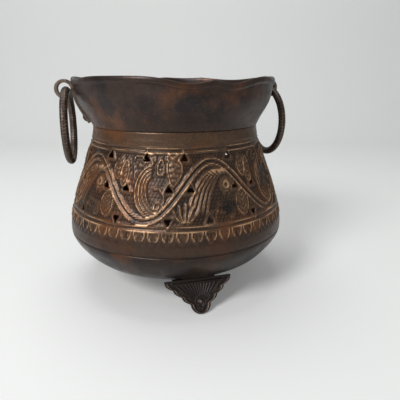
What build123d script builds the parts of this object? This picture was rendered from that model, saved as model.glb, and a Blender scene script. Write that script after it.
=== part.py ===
"""Tripod bulb pot: a raised sheet-metal pot with a pierced band, a flared collar,
two ring handles hanging in curled straps, and three leaf-shaped feet.

Units are millimetres and degrees.  +Z is up, the floor is Z = 0, the pot's axis is
the Z axis, the front foot stands towards -Y and the handles towards +X and -X.
"""

import math
import os

from build123d import *

os.makedirs("parts", exist_ok=True)

# ------------------------------------------------------------------ driving sizes
# Pot: heights are stacked from the floor, radii are measured to the outside.
foot_height = 20.0  # floor to the flat underside of the bowl
bowl_depth = 32.0  # underside to the seam at the widest place
band_height = 87.0  # belly seam to the crease of the neck
collar_height = 38.5  # neck crease to the top of the rim
base_radius = 56.0  # flat underside
belly_radius = 94.6  # widest place
neck_radius = 70.5
rim_radius = 85.5  # over the folded hem
sheet = 1.4  # thickness of all the pot's sheet
skirt = 6.0  # straight edge of the band above the belly seam
lap = 5.0  # length of each lap joint inside the band
hem_depth = 4.5  # sheet folded back down outside the rim

# Pierced triangles in the band: one group for each of the five waves of its scroll.
waves = 5
crest_angle = 7.5  # first wave crest, turned from the front towards +X
hole_side = 5.6
row_spacing = 21.5  # three rows of holes, this far apart
row_rise = 1.0  # the middle row lies this much above the middle of the shoulder
hole_rows = {  # angles from the crest, and whether the point is up
    "low": ((-24.0, False), (-4.0, True), (22.0, False)),
    "middle": ((-23.5, True), (-12.5, True), (12.5, True), (25.5, True)),
    "high": ((-15.0, True), (11.5, True), (36.0, True)),
}

# Ring handles and the straps that they hang in.
handle_setback = 5.0  # both handles stand this much behind the X axis
strap_width = 7.0
strap_thickness = 2.8
strap_bite = 0.15  # depth that the strap is bedded against the collar
eye_play = 3.8  # the eye is this much wider than the ring's bar
eye_turn = 285.0  # the strap's end is curled this far round
eye_place = 0.755  # along the flare, from the crease to the rim
ring_diameter = 64.0  # outside
ring_bar = 6.4
ring_sag = 1.0  # the bar lies this much below, and inside, the middle of the eye
ring_gap = 1.5  # left where a wide shoulder holds a hanging ring out

# Feet: an embossed leaf that splays outwards, with a flange under the bowl.
foot_sheet = 2.0
foot_width = 54.0
fold_place = 0.3582  # along the bowl's curve, from the flat underside to the seam
fold_lift = 0.4  # the outer face at the fold starts this far up into the bowl
foot_splay = 14.0  # the tip stands this far outside the fold
tip_round = 8.0  # radius of the leaf's tip
tip_grind = 0.6  # taken off the tip to give it a flat
lobes = 3  # scallops down each side of the leaf
lobe_bulge = 1.3
edge_drop = 3.0  # straight end of the leaf below the fold
flange_width = 36.0
flange_reach = 31.0  # flange from the fold in towards the pot's axis

# Rivets.
rivet_shank = 3.0
rivet_head = 6.0
rivet_rise = 1.6
set_head_rise = 1.0
hole_clearance = 0.1  # round a shank
seat_clearance = 0.08  # under a flat head on curved sheet
foot_rivet_spacing = 20.0
foot_rivet_inset = 6.5  # from the edge of the bowl's flat underside
strap_rivet_place = 0.17  # along the flare, from the crease to the rim

# ------------------------------------------------------------------ derived places
belly_height = foot_height + bowl_depth
neck_height = belly_height + band_height
shoulder_rise = band_height - skirt  # the curved part of the band
middle_row = belly_height + skirt + shoulder_rise / 2 + row_rise
row_heights = {
    "low": middle_row - row_spacing,
    "middle": middle_row,
    "high": middle_row + row_spacing,
}
rim_height = neck_height + collar_height
flare_radius = rim_radius - sheet  # the rim without its hem
eye_hole = ring_bar + eye_play


def radial_plane(angle: float) -> Plane:
    """Upright plane through the pot's axis: local X is outwards, local Y is up."""
    turn = math.radians(angle)
    return Plane(
        origin=(0, 0, 0),
        x_dir=(math.cos(turn), math.sin(turn), 0),
        z_dir=(math.sin(turn), -math.cos(turn), 0),
    )


def skin_plane(curve, place: float, angle: float, stand_off: float = 0.0) -> Plane:
    """Plane lying on the skin that a profile curve sweeps, facing away from the pot."""
    point = curve @ place
    along = curve % place
    section = radial_plane(angle)
    outwards = section.x_dir * along.Y - section.z_dir.cross(section.x_dir) * along.X
    origin = section.x_dir * point.X + Vector(0, 0, point.Y) + outwards * stand_off
    return Plane(origin=origin, x_dir=section.z_dir, z_dir=outwards)


def beside(curve, place: float, outwards: float) -> tuple:
    """Point of a profile at this distance outside its curve, or inside when negative."""
    point = curve @ place
    along = curve % place
    return (point.X + along.Y * outwards, point.Y - along.X * outwards)


def beside_curve(curve, places: tuple, outwards: float, end: tuple = None) -> None:
    """Adds a smooth profile curve that keeps this distance from another one."""
    points = [beside(curve, place, outwards) for place in places]
    first = curve % places[0]
    last = curve % (1 if end else places[-1])
    if end:
        points.append(end)
    Spline(*points, tangents=((first.X, first.Y), (last.X, last.Y)))


# Outer profile curves in the (radius, height) plane.
with BuildLine() as bowl_line:
    bowl_curve = Spline(
        (base_radius, foot_height),
        (base_radius + 0.48 * (belly_radius - base_radius), foot_height + 0.16 * bowl_depth),
        (base_radius + 0.81 * (belly_radius - base_radius), foot_height + 0.53 * bowl_depth),
        (belly_radius, belly_height),
        tangents=((1, 0), (0, 1)),
    )

with BuildLine() as band_line:
    band_curve = Spline(
        (belly_radius, belly_height + skirt),
        (neck_radius + 0.79 * (belly_radius - neck_radius), belly_height + skirt + 0.28 * shoulder_rise),
        (neck_radius + 0.30 * (belly_radius - neck_radius), belly_height + skirt + 0.69 * shoulder_rise),
        (neck_radius, neck_height),
        tangents=((0, 1), (0, 1)),
    )

with BuildLine() as flare_line:
    flare_curve = Spline(
        (neck_radius, neck_height),
        (neck_radius + 0.77 * (flare_radius - neck_radius), neck_height + 0.52 * collar_height),
        (flare_radius, rim_height),
        tangents=((0.5, 1), (0.1, 1)),
    )

# ------------------------------------------------------------------ blanks for fitting
# Filled shapes of the bowl and the collar: what is seated on them is trimmed by them.
with BuildPart() as bowl_blank:
    with BuildSketch(Plane.XZ):
        with BuildLine():
            add(bowl_curve)
            Line((belly_radius, belly_height), (0, belly_height))
            Line((0, belly_height), (0, foot_height))
            Line((0, foot_height), (base_radius, foot_height))
        make_face()
    revolve(axis=Axis.Z)

with BuildPart() as flange_skin:
    with BuildSketch(Plane.XZ):
        with BuildLine():
            add(bowl_curve)
            beside_curve(bowl_curve, (0, 0.2, 0.4, 0.7, 1), foot_sheet)
            Line((belly_radius, belly_height), (belly_radius + foot_sheet, belly_height))
            Line((0, foot_height), (base_radius, foot_height))
            Line((0, foot_height - foot_sheet), (base_radius, foot_height - foot_sheet))
            Line((0, foot_height), (0, foot_height - foot_sheet))
        make_face()
    revolve(axis=Axis.Z)

with BuildPart() as collar_blank:
    with BuildSketch(Plane.XZ):
        with BuildLine():
            add(flare_curve)
            Line((flare_radius, rim_height), (0, rim_height))
            Line((0, rim_height), (0, neck_height))
            Line((0, neck_height), (neck_radius, neck_height))
        make_face()
        with Locations((rim_radius - sheet, rim_height)):
            Rectangle(sheet, hem_depth, align=(Align.MIN, Align.MAX))
    revolve(axis=Axis.Z)

# ------------------------------------------------------------------ rivets
foot_angles = {"front": -90.0, "right": 30.0, "left": 150.0}
handle_angles = {"right": handle_setback, "left": 180.0 - handle_setback}
foot_rivet_radius = base_radius - foot_rivet_inset


def foot_rivet_seats(angle: float) -> list:
    """Planes on the bowl's flat underside, facing down, one for each rivet of a foot."""
    section = radial_plane(angle)
    seats = []
    for offset_across in (-foot_rivet_spacing / 2, foot_rivet_spacing / 2):
        across = section.z_dir * offset_across
        origin = section.x_dir * foot_rivet_radius + across + Vector(0, 0, foot_height)
        seats.append(Plane(origin=origin, x_dir=section.x_dir, z_dir=(0, 0, -1)))
    return seats


def strap_rivet_seat(angle: float) -> Plane:
    """Plane on the collar's skin under a strap's rivet, facing outwards."""
    return skin_plane(flare_curve, strap_rivet_place, angle)


def rivet(seat: Plane, grip_out: float, grip_in: float) -> None:
    """Adds a rivet through a wall: a domed head outside and a flat set head inside."""
    with BuildSketch(seat.offset(-grip_in)) as shank:
        Circle(rivet_shank / 2)
    extrude(shank.sketch, amount=grip_out + grip_in)
    with BuildSketch(seat.offset(grip_out)) as head:
        Circle(rivet_head / 2)
    extrude(head.sketch, amount=rivet_rise, taper=35)
    with BuildSketch(seat.offset(-grip_in)) as set_head:
        Circle(rivet_head / 2)
    extrude(set_head.sketch, amount=-set_head_rise, taper=30)


def rivet_hole(seat: Plane) -> None:
    """Punches the hole for a rivet's shank through the part being built."""
    with BuildSketch(seat) as hole:
        Circle(rivet_shank / 2 + hole_clearance)
    extrude(hole.sketch, amount=rivet_head, both=True, mode=Mode.SUBTRACT)


rivets = []
for side, angle in foot_angles.items():
    with BuildPart() as foot_rivets:
        for seat in foot_rivet_seats(angle):
            rivet(seat, foot_sheet, sheet)
    foot_rivets.part.label = f"foot_rivets_{side}"
    rivets.append(foot_rivets)

for side, angle in handle_angles.items():
    with BuildPart() as strap_rivet:
        grip_out = strap_thickness - strap_bite + seat_clearance
        rivet(strap_rivet_seat(angle), grip_out, sheet + seat_clearance)
    strap_rivet.part.label = f"strap_rivet_{side}"
    rivets.append(strap_rivet)

# ------------------------------------------------------------------ pot
with BuildPart() as bowl:
    with BuildSketch(Plane.XZ):
        # The upper edge is stepped in and stands inside the band as a lap joint.
        step = (belly_radius - 2 * sheet, belly_height - sheet)
        with BuildLine():
            Line((0, foot_height), (base_radius, foot_height))
            add(bowl_curve)
            Polyline(
                (belly_radius, belly_height),
                (belly_radius - sheet, belly_height),
                (belly_radius - sheet, belly_height + lap),
                (belly_radius - 2 * sheet, belly_height + lap),
                step,
            )
            beside_curve(bowl_curve, (0, 0.2, 0.4, 0.6, 0.8), -sheet, end=step)
            Line((base_radius, foot_height + sheet), (0, foot_height + sheet))
            Line((0, foot_height + sheet), (0, foot_height))
        make_face()
    revolve(axis=Axis.Z)
    for angle in foot_angles.values():
        for seat in foot_rivet_seats(angle):
            rivet_hole(seat)
bowl.part.label = "bowl"

with BuildPart() as band:
    with BuildSketch(Plane.XZ):
        with BuildLine():
            Line((belly_radius, belly_height), (belly_radius, belly_height + skirt))
            add(band_curve)
            Line((neck_radius, neck_height), (neck_radius - sheet, neck_height))
            beside_curve(band_curve, (0, 0.2, 0.4, 0.6, 0.8, 1), -sheet)
            inner = belly_radius - sheet
            Line((inner, belly_height + skirt), (inner, belly_height))
            Line((inner, belly_height), (belly_radius, belly_height))
        make_face()
    revolve(axis=Axis.Z)
    # Triangles punched square to the axis, all round.
    for wave in range(waves):
        crest = crest_angle - 90.0 + wave * 360.0 / waves
        for row, holes in hole_rows.items():
            for from_crest, point_up in holes:
                section = radial_plane(crest + from_crest)
                punch_plane = Plane(
                    origin=section.x_dir * belly_radius + Vector(0, 0, row_heights[row]),
                    x_dir=section.z_dir * -1,
                    z_dir=section.x_dir,
                )
                with BuildSketch(punch_plane):
                    point = 90.0 if point_up else -90.0
                    RegularPolygon(hole_side / math.sqrt(3), 3, rotation=point)
                extrude(amount=-(belly_radius - neck_radius + 2 * sheet), mode=Mode.SUBTRACT)
band.part.label = "band"

with BuildPart() as collar:
    with BuildSketch(Plane.XZ):
        # The lower edge sits on the band at the crease and laps down inside it.
        with BuildLine():
            add(flare_curve)
            Line((flare_radius, rim_height), beside(flare_curve, 1, -sheet))
            beside_curve(flare_curve, (0.08, 0.3, 0.6, 1), -sheet)
            Polyline(
                beside(flare_curve, 0.08, -sheet),
                (neck_radius - 2 * sheet, neck_height),
                (neck_radius - 2 * sheet, neck_height - lap),
                (neck_radius - sheet, neck_height - lap),
                (neck_radius - sheet, neck_height),
                (neck_radius, neck_height),
            )
        make_face()
        # Hem: the sheet is folded back down outside the rim.
        with Locations((flare_radius - sheet / 2, rim_height)):
            Rectangle(1.5 * sheet, hem_depth, align=(Align.MIN, Align.MAX))
    revolve(axis=Axis.Z)
    for angle in handle_angles.values():
        rivet_hole(strap_rivet_seat(angle))
collar.part.label = "collar"

# ------------------------------------------------------------------ straps and rings
eye_inner = flare_curve @ eye_place  # where the curl touches the flare
curl_radius = eye_hole / 2 + strap_thickness / 2
eye_radius = eye_inner.X + strap_thickness + eye_hole / 2
eye_height = eye_inner.Y
bar_radius = eye_radius - ring_sag  # the ring's hinge line, through the top of its bar
bar_height = eye_height - ring_sag
ring_swing = (ring_diameter - ring_bar) / 2  # hinge line to the ring's middle

# A ring hangs straight down, unless the shoulder beside its lowest point holds it out.
ring_foot = bar_height - 2 * ring_swing
band_points = [band_curve @ (number / 200) for number in range(201)]
shoulder_radius = min(band_points, key=lambda point: abs(point.Y - ring_foot)).X
held_out = shoulder_radius + ring_gap + ring_bar / 2 - bar_radius
ring_lean = math.asin(max(0.0, held_out) / (2 * ring_swing))


def strap_points() -> list:
    """Middle line of the strap where it lies up the flare."""
    points = []
    for place in (0.04, 0.30, 0.55):
        along = flare_curve % place
        lift = strap_thickness / 2 - strap_bite
        point = flare_curve @ place
        points.append((point.X + along.Y * lift, point.Y - along.X * lift))
    return points


hangers = []
rings = []
for side, angle in handle_angles.items():
    with BuildPart() as hanger:
        with BuildSketch(radial_plane(angle)):
            with BuildLine():
                start_along = flare_curve % 0.04
                Spline(
                    *strap_points(),
                    (eye_radius - curl_radius, eye_height),
                    tangents=((start_along.X, start_along.Y), (0, 1)),
                )
                CenterArc((eye_radius, eye_height), curl_radius, 180, -eye_turn)
            trace(line_width=strap_thickness)
        extrude(amount=strap_width / 2, both=True)
        add(collar_blank.part, mode=Mode.SUBTRACT)
        rivet_hole(strap_rivet_seat(angle))
    hanger.part.label = f"hanger_{side}"
    hangers.append(hanger)

    with BuildPart() as ring:
        section = radial_plane(angle)
        middle_radius = bar_radius + ring_swing * math.sin(ring_lean)
        middle_height = bar_height - ring_swing * math.cos(ring_lean)
        hang_plane = Plane(
            origin=section.x_dir * middle_radius + Vector(0, 0, middle_height),
            x_dir=section.z_dir,
            z_dir=section.x_dir * math.cos(ring_lean) + Vector(0, 0, math.sin(ring_lean)),
        )
        with Locations(hang_plane):
            Torus(ring_swing, ring_bar / 2)
    ring.part.label = f"ring_{side}"
    rings.append(ring)

# ------------------------------------------------------------------ feet
fold_radius = (bowl_curve @ fold_place).X
fold_height = (bowl_curve @ fold_place).Y + fold_lift
tip_radius = fold_radius + foot_splay
lean = math.atan2(tip_radius - fold_radius, fold_height)
slant = math.hypot(tip_radius - fold_radius, fold_height)


def leaf_plane(angle: float) -> Plane:
    """Plane of a leaf's outer face, with its origin at the tip and local Y up the leaf."""
    section = radial_plane(angle)
    up_leaf = Vector(0, 0, math.cos(lean)) - section.x_dir * math.sin(lean)
    across = section.z_dir * -1
    return Plane(origin=section.x_dir * tip_radius, x_dir=across, z_dir=across.cross(up_leaf))


def leaf_side(mirror_side: int) -> None:
    """Adds one scalloped side of the leaf's outline, from the fold down to the round tip."""
    top = Vector(mirror_side * foot_width / 2, slant - edge_drop)
    bottom = Vector(mirror_side * tip_round, tip_round)
    step = (bottom - top) / lobes
    bulge = Vector(-step.Y, step.X).normalized() * lobe_bulge * mirror_side
    Line((top.X, slant), (top.X, top.Y))
    for number in range(lobes):
        start = top + step * number
        middle = start + step / 2 + bulge
        end = start + step
        ThreePointArc((start.X, start.Y), (middle.X, middle.Y), (end.X, end.Y))


feet = []
for side, angle in foot_angles.items():
    section = radial_plane(angle)
    with BuildPart() as foot:
        flange_plane = Plane(
            origin=section.x_dir * fold_radius,
            x_dir=section.x_dir,
            z_dir=(0, 0, 1),
        )
        with BuildSketch(flange_plane):
            Rectangle(flange_reach, flange_width, align=(Align.MAX, Align.CENTER))
        extrude(amount=belly_height)
        add(flange_skin.part, mode=Mode.INTERSECT)
        with BuildSketch(leaf_plane(angle)):
            with BuildLine():
                leaf_side(1)
                leaf_side(-1)
                ThreePointArc((tip_round, tip_round), (0, -tip_grind), (-tip_round, tip_round))
                Line((foot_width / 2, slant), (-foot_width / 2, slant))
            make_face()
        extrude(amount=-foot_sheet)
        add(bowl_blank.part, mode=Mode.SUBTRACT)
        for seat in foot_rivet_seats(angle):
            rivet_hole(seat)
        split(bisect_by=Plane.XY, keep=Keep.TOP)
    foot.part.label = f"foot_{side}"
    feet.append(foot)

# ------------------------------------------------------------------ files
for piece in (bowl, band, collar, *hangers, *rings, *feet, *rivets):
    export_step(piece.part, f"parts/{piece.part.label}.step")
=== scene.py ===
"""Finish of the tripod bulb pot: an embossed and pierced band between a raised bowl and a
ruffled collar, two hammered rings in curled straps, and three embossed leaf feet.

Lengths are written in millimetres and turned to metres by MM. Angles are in degrees, and
an angle round the pot is measured from its front (-Y) towards +X.
"""

import logging
import math
from dataclasses import dataclass, field
from enum import Enum

import bmesh
import bpy
import numpy as np
from mathutils import Matrix, Vector


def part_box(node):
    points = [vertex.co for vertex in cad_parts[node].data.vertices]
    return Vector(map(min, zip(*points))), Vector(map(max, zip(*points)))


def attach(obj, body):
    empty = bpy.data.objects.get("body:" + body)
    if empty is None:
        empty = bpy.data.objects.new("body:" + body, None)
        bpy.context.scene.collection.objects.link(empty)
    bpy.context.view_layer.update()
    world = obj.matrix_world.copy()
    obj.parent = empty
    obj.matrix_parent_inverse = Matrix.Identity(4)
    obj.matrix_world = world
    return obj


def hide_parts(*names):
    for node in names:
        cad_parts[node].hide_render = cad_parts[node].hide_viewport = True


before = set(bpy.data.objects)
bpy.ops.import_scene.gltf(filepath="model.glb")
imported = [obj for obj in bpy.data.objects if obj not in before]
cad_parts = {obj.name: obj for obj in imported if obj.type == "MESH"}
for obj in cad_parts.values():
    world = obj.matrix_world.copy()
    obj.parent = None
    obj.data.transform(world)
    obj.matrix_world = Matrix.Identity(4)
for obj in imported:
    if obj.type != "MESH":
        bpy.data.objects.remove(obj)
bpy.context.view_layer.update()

MM = 0.001
LOG = logging.getLogger("bulb_pot")


# ---------------------------------------------------------------- small helpers
def linear(code: str) -> tuple[float, float, float, float]:
    """Turns an sRGB hex colour to the linear values that a shader reads.

    Args:
        code: Six hex digits, with or without a leading hash.

    Returns:
        Linear red, green and blue, and an alpha of 1.
    """
    digits = code.lstrip("#")
    shares = [int(digits[i:i + 2], 16) / 255 for i in (0, 2, 4)]
    return tuple(c / 12.92 if c <= 0.04045 else ((c + 0.055) / 1.055) ** 2.4 for c in shares) + (1.0,)


def add_node(tree: bpy.types.NodeTree, kind: str, links: dict | None = None, **settings) -> bpy.types.Node:
    """Adds a node with its settings and the links or values of its inputs.

    Args:
        tree: Node tree that gets the node.
        kind: Blender's name of the node type.
        links: Input name or number to a socket that feeds it, or to a plain value.
        settings: Properties of the node itself.

    Returns:
        The new node.
    """
    made = tree.nodes.new(kind)
    for name, value in settings.items():
        setattr(made, name, value)
    for name, value in (links or {}).items():
        if isinstance(value, bpy.types.NodeSocket):
            tree.links.new(value, made.inputs[name])
        else:
            made.inputs[name].default_value = value
    return made


def smooth_line(points: list[tuple[float, float]], per_span: int = 8, closed: bool = False) -> np.ndarray:
    """Draws a smooth line through a few points.

    Args:
        points: The points that the line goes through.
        per_span: Steps between two points.
        closed: Whether the line comes back to its first point.

    Returns:
        The line's points, one row each.
    """
    given = np.array(points, float)
    if closed:
        padded = np.vstack([given[-1], given, given[0], given[1]])
    else:
        padded = np.vstack([2 * given[0] - given[1], given, 2 * given[-1] - given[-2]])
    line = []
    for a, b, c, d in zip(padded, padded[1:], padded[2:], padded[3:]):
        for t in np.arange(per_span) / per_span:
            line.append(
                b + 0.5 * t * (c - a + t * (2 * a - 5 * b + 4 * c - d + t * (3 * (b - c) + d - a)))
            )
    line.append(padded[-2])
    return np.array(line)


def hermite(points: list[tuple[float, float]], start: tuple, end: tuple, count: int) -> np.ndarray:
    """Draws a profile through a few points with a given slope at both ends.

    Args:
        points: Radius and height of each point, in millimetres.
        start: Direction at the first point.
        end: Direction at the last point.
        count: Points wanted along the profile.

    Returns:
        Radius and height of each point, evenly spaced along the profile.
    """
    given = np.array(points, float)
    chords = np.linalg.norm(np.diff(given, axis=0), axis=1)
    slopes = np.zeros_like(given)
    slopes[1:-1] = (given[2:] - given[:-2]) / (chords[1:] + chords[:-1])[:, None]
    slopes[0] = np.array(start) / np.linalg.norm(start)
    slopes[-1] = np.array(end) / np.linalg.norm(end)
    dense = []
    for i, chord in enumerate(chords):
        t = np.linspace(0, 1, 40)[:, None]
        dense.append(
            (2 * t**3 - 3 * t**2 + 1) * given[i] + (t**3 - 2 * t**2 + t) * chord * slopes[i]
            + (3 * t**2 - 2 * t**3) * given[i + 1] + (t**3 - t**2) * chord * slopes[i + 1]
        )
    return evenly(np.vstack(dense), count)


def evenly(line: np.ndarray, count: int) -> np.ndarray:
    """Spaces points evenly along a line.

    Args:
        line: Points of the line, one row each.
        count: Points wanted.

    Returns:
        The evenly spaced points.
    """
    walked = np.concatenate([[0], np.cumsum(np.linalg.norm(np.diff(line, axis=0), axis=1))])
    wanted = np.linspace(0, walked[-1], count)
    return np.column_stack([np.interp(wanted, walked, line[:, i]) for i in range(line.shape[1])])


def beside(line: np.ndarray, outwards: float) -> np.ndarray:
    """Moves a profile sideways, to the right of its own direction.

    Args:
        line: Radius and height of each point.
        outwards: Distance, negative for the left.

    Returns:
        The moved profile.
    """
    along = np.gradient(line, axis=0)
    along /= np.linalg.norm(along, axis=1)[:, None]
    return line + outwards * np.column_stack([along[:, 1], -along[:, 0]])


def distance_to(points: np.ndarray, line: np.ndarray) -> np.ndarray:
    """Measures how far points lie from a line.

    Args:
        points: Points, one row each.
        line: Points of the line, one row each.

    Returns:
        The distance of each point.
    """
    best = np.full(len(points), 1e9)
    for start, end in zip(line, line[1:]):
        span = end - start
        share = np.clip((points - start) @ span / max(float(span @ span), 1e-9), 0, 1)
        away = points - start - share[:, None] * span
        best = np.minimum(best, np.einsum("ij,ij->i", away, away))
    return np.sqrt(best)


def inside_of(points: np.ndarray, outline: np.ndarray) -> np.ndarray:
    """Tells which points lie inside a closed outline.

    Args:
        points: Points, one row each.
        outline: Points of the outline, the last one equal to the first.

    Returns:
        True for each point inside.
    """
    found = np.zeros(len(points), bool)
    for (x0, y0), (x1, y1) in zip(outline, outline[1:]):
        crosses = (y0 > points[:, 1]) != (y1 > points[:, 1])
        rise = y1 - y0 if y1 != y0 else 1e-9
        found ^= crosses & (points[:, 0] < x0 + (points[:, 1] - y0) * (x1 - x0) / rise)
    return found


def bump(distance: np.ndarray, half_width: float) -> np.ndarray:
    """Gives the height of a round ridge, 1 on its middle line and 0 at its foot.

    Args:
        distance: How far each point is from the ridge's middle line.
        half_width: Distance from the middle line to the foot.

    Returns:
        The height of each point.
    """
    return 0.5 + 0.5 * np.cos(np.pi * np.clip(distance / half_width, 0, 1))


def get_points(mesh: bmesh.types.BMesh) -> np.ndarray:
    """Reads the places of a mesh's vertices in millimetres, one row each."""
    return np.array([vert.co for vert in mesh.verts], float) / MM


def set_points(mesh: bmesh.types.BMesh, points: np.ndarray) -> None:
    """Moves a mesh's vertices to places given in millimetres, one row each."""
    for vert, place in zip(mesh.verts, points * MM):
        vert.co = place


def spin_profile(profile: np.ndarray, steps: int, closed: bool = True) -> bmesh.types.BMesh:
    """Spins a profile round the pot's axis.

    Args:
        profile: Radius and height of each point, in millimetres.
        steps: Steps of the full turn.
        closed: Whether the profile's last point joins its first.

    Returns:
        The mesh of the turned shape, with its faces pointing outwards.
    """
    mesh = bmesh.new()
    verts = [mesh.verts.new((0, -radius * MM, height * MM)) for radius, height in profile]
    pairs = list(zip(verts, verts[1:] + verts[:1])) if closed else list(zip(verts, verts[1:]))
    edges = [mesh.edges.new(pair) for pair in pairs]
    bmesh.ops.spin(
        mesh, geom=verts + edges, cent=(0, 0, 0), axis=(0, 0, 1),
        angle=math.tau, steps=steps, use_merge=True,
    )
    bmesh.ops.remove_doubles(mesh, verts=mesh.verts, dist=1e-7)
    bmesh.ops.recalc_face_normals(mesh, faces=mesh.faces)
    mesh.verts.index_update()
    return mesh


def round_angles(points: np.ndarray) -> np.ndarray:
    """Gives each point's angle round the pot from the front towards +X, in degrees."""
    return np.degrees(np.arctan2(points[:, 0], -points[:, 1]))


def radial_frame(angle: float) -> Matrix:
    """Gives the turn that brings local -Y to an angle round the pot, and keeps Z upright."""
    return Matrix.Rotation(math.radians(angle), 4, "Z")


def outline_waves(points: np.ndarray, cells: float, seed: float) -> np.ndarray:
    """Gives a smooth uneven value in -1..1, the same on every run, for hand-worked dents.

    Args:
        points: Places in millimetres, one row each.
        cells: Size of one dent in millimetres.
        seed: Shifts the pattern, so that pieces differ.

    Returns:
        One value for each place.
    """
    scaled = points / cells * math.pi
    total = np.zeros(len(points))
    for number, (a, b, c) in enumerate(((1, 0.6, 0.3), (-0.5, 1, 0.7), (0.4, -0.8, 1), (0.9, 0.9, -0.6))):
        phase = seed + 1.7 * number
        total += np.sin(a * scaled[:, 0] + b * scaled[:, 1] + c * scaled[:, 2] + phase)
    return total / 4


# ---------------------------------------------------------------- materials
class Slot(Enum):
    """The record's material slots."""

    SHEET = "patinated_sheet"
    EMBOSSED = "embossed_sheet"
    STRAP = "forged_strap"
    BAR = "hammered_bar"
    RIVET = "rivet"


@dataclass(frozen=True)
class BrownPatina:
    """Copper sheet under a chemical brown patina that was oiled and rubbed: a satin brown
    skin, warm where it is thin, nearly black in the recesses and tan on rubbed ridges."""

    name: str
    body: str = "4a382f"  # the patina's own brown
    warm: str = "6a4028"  # thin patina, where the copper shows through
    dark: str = "231d1c"  # thick patina and soot
    rubbed: str = "8d6a56"  # dirt left in the hollows, and painted shade where the feet meet the bowl
    recess_dirt_and_shade: str = "1c1310"  # dirt left in the hollows
    skirt_colour: str = "2c201b"  # thick patina below the embossing
    floor_reflection_colour: str = "6b655e"  # painted grey reflection of the pale floor, low on the bowl
    warm_share: float = 0.5
    dark_share: float = 0.5
    blotch_mm: float = 38.0  # size of the clouds in the patina
    mottle_mm: float = 7.0
    grain_mm: float = 1.1  # scale pits, drawn a little coarser than the real ones
    dent_mm: float = 9.0  # hammer marks
    dent_depth: float = 0.25
    roughness: float = 0.46
    metallic: float = 0.45
    floor_reflection_low: tuple[float, float, float] = (0.0, 0.0, 0.0)  # painted reflection of the pale floor: from, to (mm), amount
    dark_low: tuple[float, float, float] = (0.0, 0.0, 0.0)  # full, none (mm), amount

    def make(self) -> bpy.types.Material:
        """Builds the material.

        Returns:
            The material, which reads Object coordinates and the "relief" attribute.
        """
        material = bpy.data.materials.new(self.name)
        material.use_nodes = True
        tree = material.node_tree
        tree.nodes.clear()
        place = add_node(tree, "ShaderNodeTexCoord").outputs["Object"]
        clouds = self._noise(tree, place, self.blotch_mm, 4.0)
        soot = self._noise(tree, place, self.blotch_mm * 0.62, 5.0, turn=(3.1, 1.7, 0.4))
        mottle = self._noise(tree, place, self.mottle_mm, 6.0)
        grain = self._noise(tree, place, self.grain_mm, 3.0)

        warmth = self._ramp(tree, clouds, 0.62 - 0.25 * self.warm_share, 0.78 - 0.2 * self.warm_share)
        colour = self._mix(tree, warmth, linear(self.body), linear(self.warm))
        darkness = self._ramp(tree, soot, 0.66 - 0.28 * self.dark_share, 0.84 - 0.28 * self.dark_share)
        colour = self._mix(tree, darkness, colour, linear(self.dark))
        speckle = self._ramp(tree, mottle, 0.42, 0.72)
        speckled = add_node(tree, "ShaderNodeMath", {0: speckle, 1: 0.45}, operation="MULTIPLY").outputs[0]
        colour = self._mix(tree, speckled, colour, linear(self.dark))
        flecks = self._ramp(tree, grain, 0.56, 0.74)
        flecked = add_node(tree, "ShaderNodeMath", {0: flecks, 1: 0.22}, operation="MULTIPLY").outputs[0]
        colour = self._mix(tree, flecked, colour, linear(self.rubbed))

        # Relief runs from 0 in the hollows to 1 on the ridges; a plain surface reads 0.5. The feet set it low
        # under the bowl, which paints shade there.
        relief = add_node(tree, "ShaderNodeAttribute", attribute_name="relief").outputs["Fac"]
        hollow = self._ramp(tree, relief, 0.42, 0.04)
        hollow = add_node(tree, "ShaderNodeMath", {0: hollow, 1: 0.85}, operation="MULTIPLY").outputs[0]
        colour = self._mix(tree, hollow, colour, linear(self.recess_dirt_and_shade))
        ridge = self._ramp(tree, relief, 0.5, 1.0)
        worn = add_node(tree, "ShaderNodeMath", {0: ridge, 1: mottle}, operation="MULTIPLY").outputs[0]
        worn = self._ramp(tree, worn, 0.16, 0.5)
        colour = self._mix(tree, worn, colour, linear(self.rubbed))
        if self.dark_low[2] > 0:
            colour = self._dark_skirt(tree, place, colour)
        # Painted reflection of the pale floor, low on the piece.
        if self.floor_reflection_low[2] > 0:
            colour = self._paint_floor_reflection(tree, place, mottle, colour)

        sheen = add_node(
            tree, "ShaderNodeMapRange",
            {"Value": mottle, "From Min": 0.3, "From Max": 0.7,
             "To Min": self.roughness - 0.07, "To Max": self.roughness + 0.1},
        ).outputs[0]
        dents = self._noise(tree, place, self.dent_mm, 1.0)
        coarse = add_node(
            tree, "ShaderNodeBump", {"Height": dents, "Distance": self.dent_depth * MM, "Strength": 0.8},
        ).outputs[0]
        fine = add_node(
            tree, "ShaderNodeBump",
            {"Height": grain, "Distance": 0.12 * MM, "Strength": 0.6, "Normal": coarse},
        ).outputs[0]
        shader = add_node(
            tree, "ShaderNodeBsdfPrincipled",
            {"Base Color": colour, "Roughness": sheen, "Normal": fine, "Metallic": self.metallic},
        )
        add_node(tree, "ShaderNodeOutputMaterial", {"Surface": shader.outputs[0]})
        return material

    def _noise(self, tree: bpy.types.NodeTree, place: bpy.types.NodeSocket, size_mm: float,
               detail: float, turn: tuple = (0.0, 0.0, 0.0)) -> bpy.types.NodeSocket:
        """Adds noise with lumps of a real size.

        Args:
            tree: Node tree of the material.
            place: Socket with the Object coordinates.
            size_mm: Size of one lump.
            detail: Octaves of finer noise in it.
            turn: Turns the noise, so that two of one size differ.

        Returns:
            The noise's value socket.
        """
        moved = add_node(tree, "ShaderNodeMapping", {"Vector": place, "Rotation": turn}).outputs[0]
        links = {"Vector": moved, "Scale": 1 / (size_mm * MM), "Detail": detail, "Roughness": 0.6}
        return add_node(tree, "ShaderNodeTexNoise", links).outputs[0]

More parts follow.
